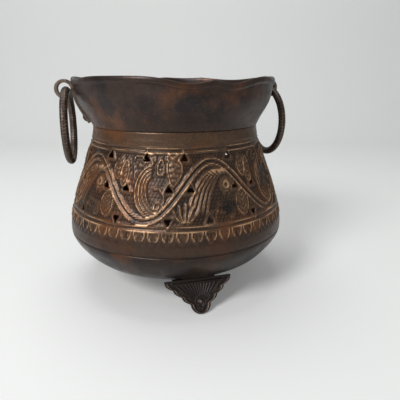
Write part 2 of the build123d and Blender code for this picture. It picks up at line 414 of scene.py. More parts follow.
    def _ramp(self, tree: bpy.types.NodeTree, value: bpy.types.NodeSocket,
              start: float, end: float) -> bpy.types.NodeSocket:
        """Adds a smooth step that is 0 at start and 1 at end.

        Args:
            tree: Node tree of the material.
            value: Socket that is compared with both.
            start: Value that gives 0.
            end: Value that gives 1.

        Returns:
            The step's value socket.
        """
        links = {"Value": value, "From Min": start, "From Max": end}
        return add_node(tree, "ShaderNodeMapRange", links, interpolation_type="SMOOTHSTEP").outputs[0]

    def _mix(self, tree: bpy.types.NodeTree, share: bpy.types.NodeSocket, low: object,
             high: object) -> bpy.types.NodeSocket:
        """Adds a mix of two colours.

        Args:
            tree: Node tree of the material.
            share: Socket that is 0 for all of low and 1 for all of high.
            low: Colour or colour socket.
            high: Colour or colour socket.

        Returns:
            The mixed colour's socket.
        """
        links = {0: share, 6: low, 7: high}
        return add_node(tree, "ShaderNodeMix", links, data_type="RGBA").outputs[2]

    def _dark_skirt(self, tree: bpy.types.NodeTree, place: bpy.types.NodeSocket,
                    colour: bpy.types.NodeSocket) -> bpy.types.NodeSocket:
        """Leaves thick dark patina low on the piece, where it is seldom rubbed.

        Args:
            tree: Node tree of the material.
            place: Socket with the Object coordinates.
            colour: Colour so far.

        Returns:
            The darkened colour's socket.
        """
        height = add_node(tree, "ShaderNodeSeparateXYZ", {0: place}).outputs[2]
        full, none, amount = self.dark_low
        low = self._ramp(tree, height, none * MM, full * MM)
        low = add_node(tree, "ShaderNodeMath", {0: low, 1: amount}, operation="MULTIPLY").outputs[0]
        return self._mix(tree, low, colour, linear(self.skirt_colour))

    def _paint_floor_reflection(self, tree: bpy.types.NodeTree, place: bpy.types.NodeSocket,
                   mottle: bpy.types.NodeSocket, colour: bpy.types.NodeSocket) -> bpy.types.NodeSocket:
        """Paints a mottled grey reflection of the pale floor low on the bowl.

        Args:
            tree: Node tree of the material.
            place: Socket with the Object coordinates.
            mottle: Socket with the fine mottling.
            colour: Colour so far.

        Returns:
            The colour with the painted floor reflection, as a socket.
        """
        height = add_node(tree, "ShaderNodeSeparateXYZ", {0: place}).outputs[2]
        low, high, amount = self.floor_reflection_low
        near = self._ramp(tree, height, high * MM, low * MM)
        floor_reflection_share = self._ramp(tree, mottle, 0.25, 0.75)
        floor_reflection_share = add_node(tree, "ShaderNodeMath", {0: near, 1: floor_reflection_share}, operation="MULTIPLY").outputs[0]
        floor_reflection_share = add_node(tree, "ShaderNodeMath", {0: floor_reflection_share, 1: amount}, operation="MULTIPLY").outputs[0]
        return self._mix(tree, floor_reflection_share, colour, linear(self.floor_reflection_colour))


@dataclass(frozen=True)
class Finishes:
    """One finish for each kind of piece."""

    band: bpy.types.Material
    bowl: bpy.types.Material
    collar: bpy.types.Material
    leaf: bpy.types.Material
    strap: bpy.types.Material
    bar: bpy.types.Material
    rivet: bpy.types.Material

    @staticmethod
    def make_all() -> "Finishes":
        """Builds every finish once.

        Returns:
            The finishes.
        """
        return Finishes(
            band=BrownPatina("embossed_copper_brown_patina", body="5a4230", warm="6f4527", rubbed="c39a74",
                             recess_dirt_and_shade="140d0a", warm_share=0.55, dark_share=0.35, mottle_mm=5.0,
                             dent_depth=0.1, roughness=0.36, dark_low=(62.0, 68.0, 0.65)).make(),
            # The grey mix low on the bowl is a painted reflection of the pale floor.
            bowl=BrownPatina("raised_copper_brown_patina", body="2f231d", warm="50311d",
                             warm_share=0.5, dark_share=0.7, floor_reflection_low=(22.0, 38.0, 0.5),
                             roughness=0.32).make(),
            collar=BrownPatina("spun_copper_brown_patina", body="3a2b25", warm="5f3a23",
                               warm_share=0.65, dark_share=0.6, mottle_mm=6.0, roughness=0.36).make(),
            leaf=BrownPatina("pressed_copper_dark_patina", body="302724", warm="3e2d24", rubbed="84705f",
                             warm_share=0.3, dark_share=0.5, mottle_mm=4.0, dent_depth=0.1).make(),
            strap=BrownPatina("forged_strap_dark_patina", body="4a3d36", warm="5d4533", rubbed="8a7767",
                              warm_share=0.4, dark_share=0.4, dent_mm=3.5, dent_depth=0.4,
                              roughness=0.42).make(),
            bar=BrownPatina("hammered_bar_dark_patina", body="3f342f", warm="4d392d", rubbed="84705f",
                            warm_share=0.3, dark_share=0.3, dent_mm=3.0, dent_depth=0.4,
                            roughness=0.42).make(),
            rivet=BrownPatina("rivet_dark_patina", body="4a3e37", warm="5a4536", rubbed="8a7767",
                              warm_share=0.3, dark_share=0.3, dent_mm=2.5).make(),
        )


# ---------------------------------------------------------------- pieces
def finish_piece(mesh: bmesh.types.BMesh, name: str, material: bpy.types.Material, body: str,
                 nodes: tuple[str, ...] = (), relief: np.ndarray | None = None) -> bpy.types.Object:
    """Turns a finished mesh to a piece that rides on its body and stands for its nodes.

    Args:
        mesh: The piece's mesh, which is freed.
        name: The piece's name.
        material: Its finish.
        body: The body that it moves with.
        nodes: The nodes that it stands for.
        relief: How high each vertex stands, from 0 in a hollow to 1 on a ridge; the feet also paint shade
            under the bowl through it.

    Returns:
        The new object.
    """
    data = bpy.data.meshes.new(name)
    mesh.to_mesh(data)
    mesh.free()
    heights = np.full(len(data.vertices), 0.5) if relief is None else relief
    attribute = data.attributes.new("relief", "FLOAT", "POINT")
    attribute.data.foreach_set("value", heights.astype(np.float32))
    data.polygons.foreach_set("use_smooth", [True] * len(data.polygons))
    piece = bpy.data.objects.new(name, data)
    bpy.context.scene.collection.objects.link(piece)
    data.materials.append(material)
    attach(piece, body)
    if nodes:
        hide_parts(*nodes)
    LOG.info("%s: %d vertices, %d faces", name, len(data.vertices), len(data.polygons))
    return piece


@dataclass(frozen=True)
class PotSizes:
    """Heights and radii of the pot's outer skin, read from the frame."""

    foot_height: float = 20.0
    base_radius: float = 56.0
    belly_radius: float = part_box("band")[1].x / MM
    belly_height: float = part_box("band")[0].z / MM
    neck_height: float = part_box("band")[1].z / MM
    rim_height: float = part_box("collar")[1].z / MM
    rim_radius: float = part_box("collar")[1].x / MM
    neck_radius: float = 70.5
    sheet: float = 1.4
    skirt: float = 6.0
    lap: float = 5.0
    handle_setback: float = 5.0

    def bowl_profile(self, count: int) -> np.ndarray:
        """Gives the bowl's outer profile from its flat underside to the belly seam."""
        swell = self.belly_radius - self.base_radius
        depth = self.belly_height - self.foot_height
        points = [
            (self.base_radius, self.foot_height),
            (self.base_radius + 0.48 * swell, self.foot_height + 0.16 * depth),
            (self.base_radius + 0.81 * swell, self.foot_height + 0.53 * depth),
            (self.belly_radius, self.belly_height),
        ]
        return hermite(points, (1, 0), (0, 1), count)

    def band_profile(self, count: int) -> np.ndarray:
        """Gives the band's outer profile from the top of its skirt to the neck crease."""
        taper = self.belly_radius - self.neck_radius
        low = self.belly_height + self.skirt
        rise = self.neck_height - low
        points = [
            (self.belly_radius, low),
            (self.neck_radius + 0.79 * taper, low + 0.28 * rise),
            (self.neck_radius + 0.30 * taper, low + 0.69 * rise),
            (self.neck_radius, self.neck_height),
        ]
        return hermite(points, (0, 1), (0, 1), count)

    def flare_profile(self, count: int) -> np.ndarray:
        """Gives the collar's outer profile from the neck crease to the rim."""
        flare = self.rim_radius - self.sheet - self.neck_radius
        rise = self.rim_height - self.neck_height
        points = [
            (self.neck_radius, self.neck_height),
            (self.neck_radius + 0.77 * flare, self.neck_height + 0.52 * rise),
            (self.neck_radius + flare, self.rim_height),
        ]
        return hermite(points, (0.5, 1), (0.1, 1), count)

    def handle_angles(self) -> dict[str, float]:
        """Gives each handle's angle round the pot, by its side."""
        return {"left": -90.0 - self.handle_setback, "right": 90.0 + self.handle_setback}


@dataclass(frozen=True)
class Ridge:
    """A raised line of the relief, or a sunk one where its height is negative."""

    points: list[tuple[float, float]]
    half_width: float = 1.05
    height: float = 0.9
    closed: bool = False


@dataclass(frozen=True)
class Swell:
    """A closed outline that bulges softly inside a raised edge."""

    points: list[tuple[float, float]]
    edge_height: float = 1.0
    edge_half_width: float = 1.05
    fill_height: float = 0.42
    slashes: int = 0
    slash_lean: float = 35.0


@dataclass(frozen=True)
class ScrollRelief:
    """One wave of the running scroll, which repeats five times round the band.

    A point's x is measured along the band from the wave's crest, and y up from the
    scroll's middle height, both in millimetres. Heights run from 0, the ground, to 1.
    """

    waves: int = 5
    crest_angle: float = 7.5
    middle_height: float = 98.0
    mean_radius: float = 84.0
    stem_swing: float = 20.5
    stem_gap: float = 4.0
    punch_pitch: float = 2.7
    punch_rise: float = 0.34

    @property
    def wave_length(self) -> float:
        """Length of one wave along the band."""
        return math.tau * self.mean_radius / self.waves

    def stem(self, offset: float) -> list[tuple[float, float]]:
        """Gives one line of the stem, which swings as a cosine over a little more than a wave.

        Args:
            offset: Distance from the stem's middle line, measured square to it.

        Returns:
            The line's points.
        """
        points = []
        for step in range(-26, 27):
            x = step * self.wave_length / 48
            slope = -self.stem_swing * math.tau / self.wave_length * math.sin(math.tau * x / self.wave_length)
            lean = math.hypot(1, slope)
            middle = self.stem_swing * math.cos(math.tau * x / self.wave_length)
            points.append((x - offset * slope / lean, middle + offset / lean))
        return points

    def ridges(self) -> list[Ridge]:
        """Gives the lines of one wave: stem, strands, spiral, tulip, curls and stalks.

        Returns:
            The lines, each with its half width and its height.
        """
        made = [
            Ridge(self.stem(self.stem_gap / 2), 1.4, 1.0),
            Ridge(self.stem(-self.stem_gap / 2), 1.4, 1.0),
            Ridge(self.stem(0), 1.2, -0.55),
        ]
        # Strands that follow the inside of the crest, nested one in the other.
        for number in range(5):
            made.append(Ridge([
                (-19.5 + 3.0 * number, -9.0 - 1.6 * number), (-15.6 + 2.9 * number, 0.0 - 0.9 * number),
                (-10.4 + 2.6 * number, 7.6 - 1.0 * number), (-4.2 + 2.2 * number, 12.6 - 0.8 * number),
                (3.0 + 1.5 * number, 14.6 - 0.7 * number), (9.4 + 0.5 * number, 13.6 - 0.5 * number),
            ], 1.3, 1.0 - 0.05 * number))
        # The arch right of the crest, which ends the strands over a pierced triangle.
        made.append(Ridge([(9.0, 14.2), (14.0, 14.6), (19.0, 12.4), (23.2, 7.6), (25.6, 2.4)], 1.25, 0.95))
        # The spiral in the trough: strands that wind down and round into the eye.
        for number in range(4):
            made.append(Ridge([
                (58.0 - 0.2 * number, 18.4 - 2.6 * number), (52.0 + 0.9 * number, 15.4 - 2.5 * number),
                (47.6 + 2.0 * number, 10.2 - 1.9 * number), (45.6 + 2.7 * number, 3.4 - 1.0 * number),
                (45.8 + 2.9 * number, -3.4), (48.0 + 2.6 * number, -9.6 + 0.8 * number),
                (52.4 + 1.9 * number, -14.6 + 1.5 * number), (58.0 + 1.0 * number, -17.2 + 1.9 * number),
                (63.4, -16.0 + 1.6 * number),
            ], 1.3, 1.0 - 0.05 * number))
        made.append(Ridge([
            (67.8, -11.6), (65.8, -7.6), (62.4, -7.0), (60.6, -9.4), (62.0, -11.8),
        ], 1.0, 0.95))
        made.append(Ridge([(60.0, 2.4), (64.4, 1.6), (67.4, -2.6), (67.6, -7.4)], 1.1, 0.9))
        # The tulip under the rising stem: rays that spread up from one root.
        for turn in (-42, -21, 0, 21, 42):
            lean = math.radians(turn)
            across, up = math.sin(lean), math.cos(lean)
            made.append(Ridge([
                (-23.0 + 3.0 * across, -23.0 + 3.0 * up), (-23.0 + 9.0 * across, -23.0 + 8.0 * up),
                (-22.0 + 14.0 * across, -23.0 + 15.0 * up),
            ], 1.35, 0.95))
        # The curl high above the trough's left side, round a dark core.
        made.append(Ridge([
            (42.0, 20.5), (42.9, 23.4), (46.7, 24.4), (50.6, 22.6), (51.4, 19.0), (48.8, 16.9), (46.2, 18.2),
        ], 0.95, 0.95))
        # Short stalks and curls that fill the ground under the crest.
        made.append(Ridge([(0.8, -12.6), (-0.6, -15.5), (-1.5, -20.4)], 0.85, 0.8))
        made.append(Ridge([(-7.0, -13.6), (-4.8, -15.4), (-2.6, -14.4)], 0.8, 0.8))
        made.append(Ridge([(-19.0, -7.0), (-18.0, -13.0), (-18.6, -20.0)], 0.8, 0.75))
        made.append(Ridge([(29.4, -17.5), (31.6, -12.0), (33.0, -16.0)], 0.8, 0.7))
        # The two lines that hold the column of dots.
        for side in (-1.7, 1.7):
            made.append(Ridge([
                (39.2 + side, 21.5), (40.6 + side, 16.0), (41.8 + side, 10.0), (40.4 + side, 3.4),
            ], 0.65, 0.7))
        return made

    def swells(self) -> list[Swell]:
        """Gives the closed shapes of one wave: the bud, the leaves and the petals.

        Returns:
            The closed shapes.
        """
        return [
            # Round bud that the crest's strands hold.
            Swell([(5.4, 2.6), (7.0, 6.6), (11.0, 8.2), (14.4, 5.6), (14.2, 1.0), (10.6, -1.4), (6.8, -0.6)],
                  0.8, 1.1, 0.8),
            # Lance leaf under the falling stem.
            Swell([(20.0, -18.6), (16.6, -12.0), (18.4, -5.0), (23.4, -1.2), (27.0, -5.6), (27.6, -12.6),
                   (24.4, -19.0)], slashes=5, slash_lean=60.0, fill_height=0.75),
            # Veined leaf and its neighbour above the falling stem.
            Swell([(24.2, 14.0), (25.6, 19.4), (29.2, 22.6), (32.0, 19.6), (31.6, 13.0), (29.4, 7.6),
                   (26.2, 9.6)], slashes=4, slash_lean=40.0, fill_height=0.75),
            Swell([(33.6, 3.4), (31.6, 8.4), (32.6, 15.6), (35.2, 21.6), (37.8, 16.6), (38.0, 9.4),
                   (36.6, 3.6)], slashes=5, slash_lean=30.0, fill_height=0.75),
            # Upright leaf right of the spiral, with its bright cap.
            Swell([(71.0, 20.8), (70.0, 14.4), (71.8, 8.0), (74.6, 4.4), (78.4, 8.0), (81.4, 14.6),
                   (79.6, 21.0)], slashes=4, slash_lean=-30.0, fill_height=0.75),
            Swell([(69.2, 22.0), (74.0, 23.0), (79.0, 22.6), (78.4, 25.4), (72.0, 25.6)], 0.9, 0.9, 0.9),
            # Small petals at the spiral's curled end.
            Swell([(52.6, 20.4), (53.4, 24.4), (58.6, 25.0), (60.8, 21.6), (57.0, 19.4)], 0.85, 0.8, 0.6),
            Swell([(62.6, 12.4), (62.4, 18.0), (65.0, 22.4), (67.2, 18.6), (67.0, 12.6)], slashes=3,
                  slash_lean=30.0),
            Swell([(9.0, -16.6), (11.6, -12.0), (14.4, -13.6), (14.0, -18.8), (10.6, -20.2)], 0.8, 0.8, 0.5),
        ]

    def dots(self) -> list[tuple[float, float, float, float]]:
        """Gives the dots of one wave.

        Returns:
            The x, y, radius and height of each: a bead, or a pit where its height is negative.
        """
        made = [(64.2, -9.8, 1.6, 0.95), (46.8, 20.0, 1.2, -0.6), (10.0, 3.2, 1.3, -0.7)]
        # A column of pits between two lines, and rows of pits in the ground.
        made += [(39.4 + 1.9 * math.sin(math.pi * n / 7), 22.0 - 3.0 * n, 0.95, -0.65) for n in range(7)]
        made += [(63.4 + 0.5 * n, 1.6 + 0.9 * n, 0.8, -0.4) for n in range(3)]
        made += [(10.0 + 2.6 * n, 23.6 - 0.03 * n * n, 0.9, -0.5) for n in range(9)]
        made += [(12.5 + 2.6 * n, 20.8 - 0.06 * n * n, 0.9, -0.5) for n in range(6)]
        made += [(-9.0 - 2.6 * n, 24.4 - 0.05 * n * n, 0.9, -0.45) for n in range(6)]
        made += [(34.0 + 2.6 * n, -20.2 - 0.04 * n * n, 0.9, -0.45) for n in range(6)]
        # Beads round the bud, and two strings of beads under it.
        made += [(10.2 + 7.0 * math.cos(0.62 * n - 1.9), 3.4 + 7.0 * math.sin(0.62 * n - 1.9), 1.25, 0.85)
                 for n in range(5)]
        made += [(1.6 + 2.9 * n, -10.0 - 0.5 * n, 1.15, 0.8) for n in range(5)]
        made += [(0.4 + 2.9 * n, -14.6 - 0.6 * n, 1.15, 0.75) for n in range(4)]
        return made

    def height_at(self, x: np.ndarray, y: np.ndarray) -> np.ndarray:
        """Works out the scroll's height.

        Args:
            x: Distance along the band from the front, in millimetres at the mean radius.
            y: Height above the scroll's middle line, in millimetres.

        Returns:
            The height of each place, from -0.6 in a pit to about 1 on a ridge.
        """
        wave = self.wave_length
        start = x - math.radians(self.crest_angle) * self.mean_radius
        start = np.mod(start + wave / 2, wave) - wave / 2
        raised = np.zeros(len(x))
        sunk = np.zeros(len(x))
        for shift in (-wave, 0.0, wave):
            places = np.column_stack([start + shift, y])
            near = np.flatnonzero((places[:, 0] > -0.6 * wave) & (places[:, 0] < 0.85 * wave) & (abs(y) < 30))
            if len(near) == 0:
                continue
            up, down = self._unit(places[near])
            raised[near] = np.maximum(raised[near], up)
            sunk[near] = np.minimum(sunk[near], down)
        # Fine punch marks fill the ground between the strokes, in staggered rows.
        row = np.round(y / self.punch_pitch)
        along = x / self.punch_pitch + 0.5 * np.mod(row, 2)
        mark = np.hypot(along - np.round(along), y / self.punch_pitch - row) * self.punch_pitch
        ground = np.clip(1 - raised * 3, 0, 1)
        return raised + sunk + ground * self.punch_rise * bump(mark, 1.25)

    def _unit(self, places: np.ndarray) -> tuple[np.ndarray, np.ndarray]:
        """Works out what the strokes of one wave raise and sink.

        Args:
            places: The x and y of each place, from the wave's own crest.

        Returns:
            How much each place is raised, and how much it is sunk as a negative number.
        """
        up = np.zeros(len(places))
        down = np.zeros(len(places))
        for swell in self.swells():
            outline = smooth_line(swell.points, 6, closed=True)
            away = distance_to(places, outline)
            within = inside_of(places, outline)
            depth = np.where(within, away, 0)
            fill = swell.fill_height * np.clip(depth / 1.6, 0, 1) * within
            fill = np.maximum(fill, 0.25 * within)
            edge = swell.edge_height * bump(away, swell.edge_half_width)
            up = np.maximum(up, np.maximum(fill, edge))
            down = np.minimum(down, -0.62 * self._slashes(places, outline, swell) * within * (away > 0.8))
        for ridge in self.ridges():
            line = smooth_line(ridge.points, 3 if len(ridge.points) > 12 else 6, ridge.closed)
            lift = ridge.height * bump(distance_to(places, line), ridge.half_width)
            if ridge.height > 0:
                up = np.maximum(up, lift)
            else:
                down = np.minimum(down, lift)
        for x, y, radius, height in self.dots():
            lift = height * bump(np.hypot(places[:, 0] - x, places[:, 1] - y), radius * 1.35)
            if height > 0:
                up = np.maximum(up, lift)
            else:
                down = np.minimum(down, lift)
        return up, down

    def _slashes(self, places: np.ndarray, outline: np.ndarray, swell: Swell) -> np.ndarray:
        """Gives the veins cut into a leaf: slanting slashes on both sides of its middle.

        Args:
            places: The x and y of each place.
            outline: The leaf's smooth outline.
            swell: The leaf.

        Returns:
            The depth of the slashes at each place, from 0 to 1.
        """
        if swell.slashes == 0:
            return np.zeros(len(places))
        low, high = outline.min(axis=0), outline.max(axis=0)
        middle = (low + high) / 2
        lean = math.tan(math.radians(swell.slash_lean))
        pitch = (high[1] - low[1]) / (swell.slashes + 0.6)
        slanted = places[:, 1] - abs(places[:, 0] - middle[0]) * lean * 0.6 - low[1]
        phase = np.mod(slanted / pitch, 1.0)
        return bump(abs(phase - 0.5) * pitch, 0.85)


@dataclass(frozen=True)
class Band:
    """The embossed and pierced band between the bowl and the collar."""

    sizes: PotSizes
    scroll: ScrollRelief = ScrollRelief()
    columns: int = 640
    relief_rows: int = 62
    depth: float = 1.7  # the ground lies this much under the ridges
    lower_border: float = 72.8  # height of the border's middle line
    upper_border: float = 126.5
    border_gap: float = 3.4  # between the two lines of a border
    fans: int = 55  # scallops under the lower border
    fan_drop: float = 8.0
    hole_side: float = 5.6
    snap_reach: float = 0.46  # vertices this near a hole's side are drawn onto it
    row_spacing: float = 21.5
    row_rise: float = 1.0
    hole_rows: dict = field(default_factory=lambda: {
        -1: ((-24.0, False), (-4.0, True), (22.0, False)),
        0: ((-23.5, True), (-12.5, True), (12.5, True), (25.5, True)),
        1: ((-15.0, True), (11.5, True), (36.0, True)),
    })

    def holes(self) -> list[tuple[float, float, bool]]:
        """Gives the pierced triangles.

        Returns:
            The angle and height of each, and whether its point is up.
        """
        low = self.sizes.belly_height + self.sizes.skirt
        middle = (low + self.sizes.neck_height) / 2 + self.row_rise
        return [
            (self.scroll.crest_angle + wave * 360 / self.scroll.waves + from_crest,
             middle + row * self.row_spacing, point_up)
            for wave in range(self.scroll.waves)
            for row, holes in self.hole_rows.items()
            for from_crest, point_up in holes
        ]

    def build(self, finish: bpy.types.Material) -> bpy.types.Object:
        """Builds the band.

        Args:
            finish: Its material.

        Returns:
            The band's object.
        """
        sizes = self.sizes
        curve = self.sizes.band_profile(400)
        low, high = self.lower_border - self.fan_drop - 2.5, self.upper_border + 3.5
        heights = np.concatenate([
            np.linspace(sizes.belly_height + sizes.skirt, low, 4)[:-1],
            np.linspace(low, high, self.relief_rows),
            np.linspace(high, sizes.neck_height, 7)[1:],
        ])
        skin = np.column_stack([np.interp(heights, curve[:, 1], curve[:, 0]), heights])
        skirt_heights = (sizes.belly_height + 0.1, sizes.belly_height + 3)
        skirt = np.array([(sizes.belly_radius, height) for height in skirt_heights])
        mesh = spin_profile(np.vstack([skirt, skin]), self.columns, closed=False)
        points = get_points(mesh)
        points = self._snap_to_holes(points)
        angles = round_angles(points)
        relief = self._relief(angles, points[:, 2])
        radius = np.hypot(points[:, 0], points[:, 1])
        plain = outline_waves(points, 26.0, 0.4) * 0.35 - 0.35
        blend = np.clip((points[:, 2] - sizes.belly_height - 2) / 8, 0, 1)
        drop = -self.depth * (1 - np.clip(relief, -0.5, 1)) * blend + plain * blend * 0.5
        keep = (radius + drop) / radius
        points[:, 0] *= keep
        points[:, 1] *= keep
        set_points(mesh, points)
        self._pierce(mesh)
        bmesh.ops.recalc_face_normals(mesh, faces=mesh.faces)
        outward = sum(face.normal.dot(Vector((*face.calc_center_median()[:2], 0))) for face in mesh.faces)
        if outward < 0:
            bmesh.ops.reverse_faces(mesh, faces=mesh.faces)
        kept = get_points(mesh)
        shade = self._relief(round_angles(kept), kept[:, 2])
        shade = self._shade(shade, kept[:, 2])
        piece = finish_piece(mesh, "band_embossed", finish, "pot", ("band",), shade)
        wall = piece.modifiers.new("wall", "SOLIDIFY")
        wall.thickness = sizes.sheet * MM
        wall.offset = -1
        return piece

    def _shade(self, relief: np.ndarray, height: np.ndarray) -> np.ndarray:
        """Turns the relief to how worn or dirty it is, with plain metal outside it.

        Args:
            relief: Relief of each place.
            height: Height of each place above the floor.

        Returns:
            Values from 0, a dirty hollow, to 1, a rubbed ridge.
        """
        inside = np.clip((height - self.lower_border + self.fan_drop + 2) / 2, 0, 1)
        inside *= np.clip((self.upper_border + 3 - height) / 2, 0, 1)
        return 0.5 * (1 - inside) + inside * np.clip(0.12 + 0.88 * relief, 0, 1)

    def _relief(self, angles: np.ndarray, height: np.ndarray) -> np.ndarray:
        """Works out the height of borders, fans, scroll and lips round the holes.

        Args:
            angles: Angle of each place round the pot.
            height: Height of each place above the floor.

        Returns:
            The relief of each place, from 0 on the ground to 1 on a ridge.
        """
        x = np.radians(angles) * self.scroll.mean_radius
        relief = self.scroll.height_at(x, height - self.scroll.middle_height)
        for border in (self.lower_border, self.upper_border):
            wander = 0.5 * np.sin(np.radians(angles) * 7 + border)
            for line in (-self.border_gap / 2, self.border_gap / 2):
                relief = np.maximum(relief, bump(abs(height - border - wander - line), 1.25))
        # Beyond the borders the sheet is plain, at the level of the ridges.
        outside = np.maximum(
            np.clip((height - self.upper_border - 1.8) / 2.2, 0, 1),
            np.clip((self.lower_border - 2.6 - height) / 1.2, 0, 1) * 0.75,
        )
        relief = np.maximum(relief, outside * 0.9)
        relief = self._fans(relief, angles, height)
        for angle, middle, point_up in self.holes():
            across, up = self._in_hole(angles, height, angle, middle, point_up)
            near = np.flatnonzero((abs(across) < 8) & (abs(up) < 8))
            if len(near):
                side = self._triangle_distance(across[near], up[near])
                lip = 0.75 * bump(abs(side - 0.9), 1.3)
                relief[near] = np.maximum(relief[near], lip)
        return relief

    def _fans(self, relief: np.ndarray, angles: np.ndarray, height: np.ndarray) -> np.ndarray:
        """Adds the row of small fans that hangs under the lower border.

        Args:
            relief: The relief so far.
            angles: Angle of each place round the pot.
            height: Height of each place above the floor.

        Returns:
            The relief with the fans.
        """
        pitch = math.tau * self.scroll.mean_radius / self.fans
        x = np.mod(np.radians(angles) * self.scroll.mean_radius, pitch) - pitch / 2
        drop = self.lower_border - 2.4 - height
        inside = (drop > -0.5) & (drop < self.fan_drop + 1.2)
        half = pitch / 2 - 0.6
        reach = np.hypot(x / half, np.clip(drop, 0, None) / self.fan_drop)
        edge = bump(abs(reach - 0.9) * half, 1.15)
        ray_angle = np.arctan2(x, np.clip(drop, 0.2, None) + 1.2)
        rays = sum(bump(abs(ray_angle - turn) * (drop + 1.2), 0.62) for turn in (-0.62, 0.0, 0.62))
        rays = np.where((reach < 0.74) & (drop > 0.8), rays, 0)
        fan = np.where(reach < 1.0, 0.62, 0.28)
        fan = np.maximum(fan, 1.0 * edge) - 0.75 * np.clip(rays, 0, 1)
        return np.where(inside, np.where(reach < 1.25, fan, relief * 0.9), relief)

    def _in_hole(self, angles: np.ndarray, height: np.ndarray, angle: float, middle: float,
                 point_up: bool) -> tuple[np.ndarray, np.ndarray]:
        """Turns places to a hole's own axes.

        Args:
            angles: Angle of each place round the pot.
            height: Height of each place above the floor.
            angle: The hole's angle round the pot.
            middle: The hole's height.
            point_up: Whether its point is up.

        Returns:
            How far each place lies across the hole, and towards its point.
        """
        turn = np.mod(angles - angle + 180, 360) - 180
        radius = np.interp(height, [60, 80, 100, 114, 139], [94.6, 89.7, 82.6, 77.7, 70.5])
        up = height - middle
        return np.radians(turn) * radius, up if point_up else -up

    def _triangle_distance(self, across: np.ndarray, up: np.ndarray) -> np.ndarray:
        """Measures how far places lie outside a pierced triangle.

        Args:
            across: Distance across the hole from its middle.
            up: Distance towards its point from its middle.

        Returns:
            The distance outside the nearest side, negative inside the hole.
        """
        inner = self.hole_side / math.sqrt(12)
        sides = [-up - inner]
        for lean in (-1, 1):
            sides.append(lean * across * math.cos(math.radians(30)) + up * 0.5 - inner)
        return np.max(sides, axis=0)

    def _snap_to_holes(self, points: np.ndarray) -> np.ndarray:
        """Draws the vertices beside each hole onto its three sides, so that it cuts clean.

        Args:
            points: Places of the mesh's vertices.

        Returns:
            The places with those beside a hole moved.
        """
        moved = points.copy()
        angles = round_angles(points)
        inner = self.hole_side / math.sqrt(12)
        corners = [
            np.array([0, 2 * inner]),
            np.array([-self.hole_side / 2, -inner]),
            np.array([self.hole_side / 2, -inner]),
        ]
        for angle, middle, point_up in self.holes():
            across, up = self._in_hole(angles, points[:, 2], angle, middle, point_up)
            near = np.flatnonzero((abs(across) < self.hole_side) & (abs(up) < self.hole_side))
            for index in near:
                place = np.array([across[index], up[index]])
                signed = self._triangle_distance(place[:1], place[1:])[0]
                if abs(signed) > self.snap_reach:
                    continue
                best = None
                for start, end in zip(corners, corners[1:] + corners[:1]):
                    span = end - start
                    share = np.clip((place - start) @ span / (span @ span), 0, 1)
                    foot = start + share * span
                    if best is None or np.linalg.norm(foot - place) < np.linalg.norm(best - place):
                        best = foot
                nearest = min(corners, key=lambda corner: np.linalg.norm(corner - place))
                if np.linalg.norm(nearest - place) < 0.5:
                    best = nearest
                shift = best - place
                radius = math.hypot(*points[index][:2])
                turned = math.radians(angles[index]) + shift[0] / radius
                moved[index][0] = radius * math.sin(turned)
                moved[index][1] = -radius * math.cos(turned)
                moved[index][2] = points[index][2] + (shift[1] if point_up else -shift[1])
        return moved

    def _pierce(self, mesh: bmesh.types.BMesh) -> None:
        """Takes out the faces that lie inside the triangles."""
        centres = np.array([face.calc_center_median() for face in mesh.faces]) / MM
        angles = round_angles(centres)
        gone = np.zeros(len(centres), bool)
        for angle, middle, point_up in self.holes():
            across, up = self._in_hole(angles, centres[:, 2], angle, middle, point_up)
            gone |= (self._triangle_distance(across, up) < -0.02) & (abs(across) < 6) & (abs(up) < 6)
        mesh.faces.ensure_lookup_table()
        doomed = [mesh.faces[i] for i in np.flatnonzero(gone)]
        bmesh.ops.delete(mesh, geom=doomed, context="FACES")
        mesh.verts.index_update()


@dataclass(frozen=True)
class Bowl:
    """The raised bowl under the band, with its stepped lap inside."""

    sizes: PotSizes
    steps: int = 320

    def build(self, finish: bpy.types.Material) -> bpy.types.Object:
        """Builds the bowl.

        Args:
            finish: Its material.

        Returns:
            The bowl's object.
        """
        sizes = self.sizes
        outer = sizes.bowl_profile(46)
        flat = np.column_stack([np.linspace(0, sizes.base_radius, 16), np.full(16, sizes.foot_height)])
        inside = beside(outer, -sizes.sheet)[:-3]
        step = sizes.belly_radius - 2 * sizes.sheet
        top = sizes.belly_height
        lap = np.array([
            (sizes.belly_radius - 0.25, top - 0.1), (sizes.belly_radius - sizes.sheet - 0.1, top),
            (step + sizes.sheet - 0.1, top + sizes.lap), (step, top + sizes.lap), (step, top - 1.2),
        ])
        floor = flat[::-1] + np.array([0, sizes.sheet])
        profile = np.vstack([flat, outer[1:-1], lap, inside[::-1], floor[1:]])
        mesh = spin_profile(profile, self.steps, closed=False)
        points = get_points(mesh)
        radius = np.hypot(points[:, 0], points[:, 1])
        share = np.clip((radius - 58) / 15, 0, 1) * np.clip((top - 2 - points[:, 2]) / 8, 0, 1)
        dents = (outline_waves(points, 24.0, 1.1) - 1) * 0.28 * share
        points[:, :2] *= (1 + dents / np.maximum(radius, 1))[:, None]
        set_points(mesh, points)
        return finish_piece(mesh, "bowl_raised", finish, "pot", ("bowl",))


